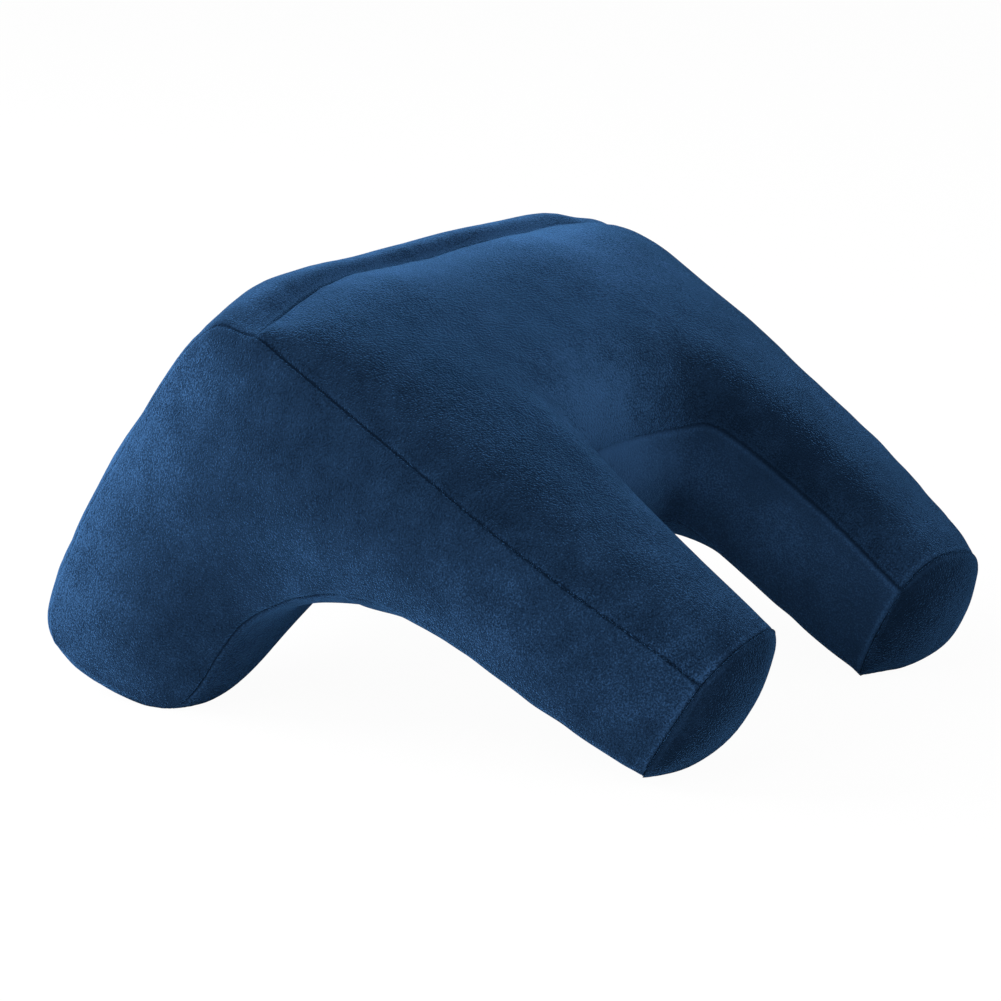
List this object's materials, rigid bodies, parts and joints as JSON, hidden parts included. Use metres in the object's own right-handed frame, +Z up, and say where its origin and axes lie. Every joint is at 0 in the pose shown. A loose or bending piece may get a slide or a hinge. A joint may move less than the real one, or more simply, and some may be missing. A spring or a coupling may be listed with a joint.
{
  "type": "neck pillow",
  "caption": "U-shaped filled pillow, bent over a ridge, with two sloping arms and a raised back that stands on two legs; supports the neck and head.",
  "frame": {"origin": "on the floor under the middle of the pillow's box", "axes": "+X across the pillow from arm to arm, the arms point along -Y, +Z up"},
  "size_m": [0.3164, 0.338, 0.1857],
  "materials": {
    "velvet": "short-pile navy velvet, soft sheen along the edges",
    "velvet_end": "the same velvet with its pile laid the other way, so it reads darker"
  },
  "bodies": {
    "root": {"cushion_body": "velvet", "end_disc_left": "velvet_end", "end_disc_right": "velvet_end"}
  },
  "joints": []
}
